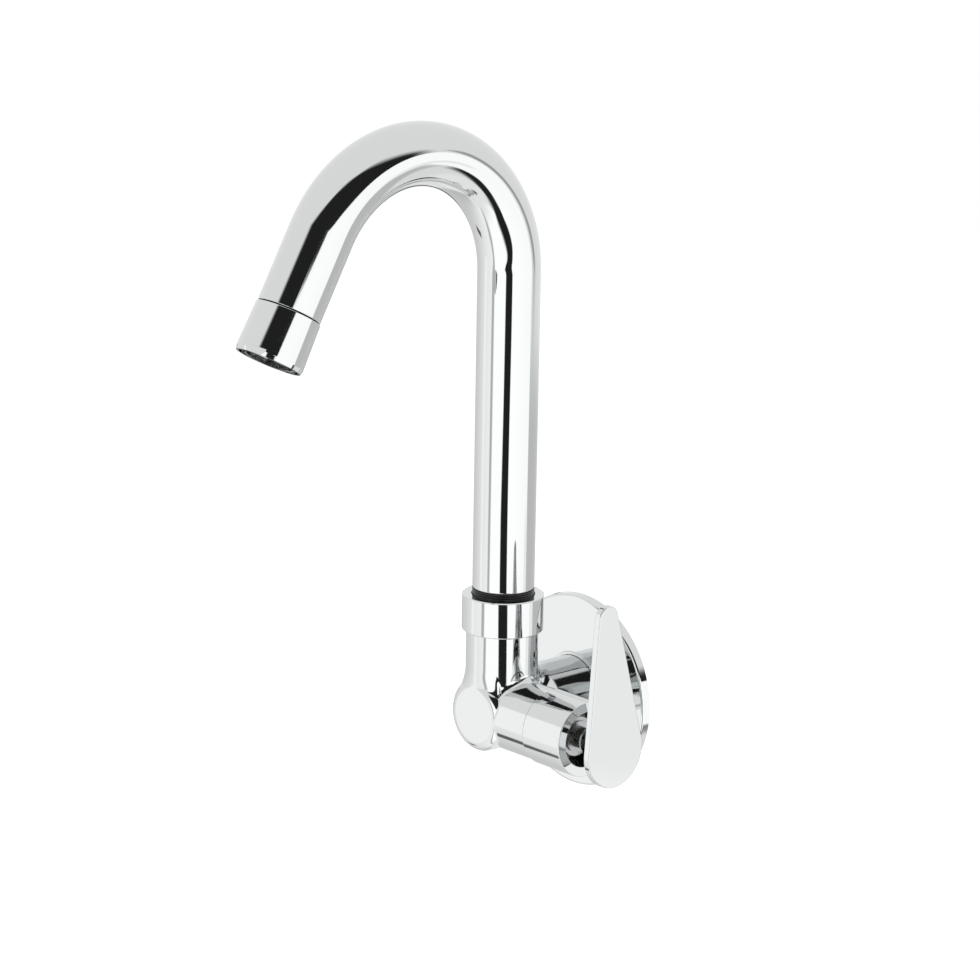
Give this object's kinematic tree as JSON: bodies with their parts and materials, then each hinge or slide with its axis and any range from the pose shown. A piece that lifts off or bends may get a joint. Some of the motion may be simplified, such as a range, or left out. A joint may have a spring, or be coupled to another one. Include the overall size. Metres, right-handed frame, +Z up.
{
  "type": "wall-mounted swan-neck sink tap",
  "caption": "Wall-mounted chrome sink tap with a swivelling swan-neck spout, aerator, collar nut, round wall flange and a teardrop quarter-turn lever.",
  "frame": {"origin": "where the inlet axis crosses the wall plane", "axes": "+Z up, +Y into the wall along the inlet, +X towards the lever"},
  "size_m": [0.1036, 0.1852, 0.2745],
  "materials": {
    "chrome_plate": "bright chrome plate over brass",
    "brass": "turned, unplated",
    "black_acetal": "satin black acetal",
    "nickel_plate": "dull nickel plate over turned brass",
    "seal_rubber": "smooth moulded",
    "ceramic": "lapped alumina",
    "stainless_steel": "plain stainless"
  },
  "bodies": {
    "body": {"body_casting": "chrome_plate", "wall_flange": "chrome_plate", "collar_nut": "chrome_plate", "thrust_washer": "black_acetal", "cartridge_body": "nickel_plate", "seat_seal": "seal_rubber", "ceramic_disc_fixed": "ceramic", "bonnet_seal": "seal_rubber", "cover_sleeve": "chrome_plate"},
    "spout": {"spout_nipple": "brass", "spout_o_ring_lower": "seal_rubber", "spout_o_ring_upper": "seal_rubber", "glide_ring": "black_acetal", "spout_tube": "chrome_plate", "outlet_adaptor": "brass", "aerator_gasket": "seal_rubber", "aerator_screen": "stainless_steel", "aerator_insert": "black_acetal", "aerator_housing": "chrome_plate"},
    "lever": {"lever_handle": "chrome_plate", "handle_grub_screw": "stainless_steel", "spindle": "nickel_plate", "spindle_o_ring": "seal_rubber", "ceramic_disc_moving": "ceramic", "stop_washer": "stainless_steel", "retaining_clip": "stainless_steel"}
  },
  "joints": [
    {"name": "spout_swivel", "type": "hinge", "parent": "body", "child": "spout", "pos_m": [0, -0.0432, 0.043], "axis": [0, 0, 1], "range_deg": [-100, 100]},
    {"name": "lever_turn", "type": "hinge", "parent": "body", "child": "lever", "pos_m": [0.0421, -0.0432, 0], "axis": [1, 0, 0], "range_deg": [0, 90]}
  ]
}
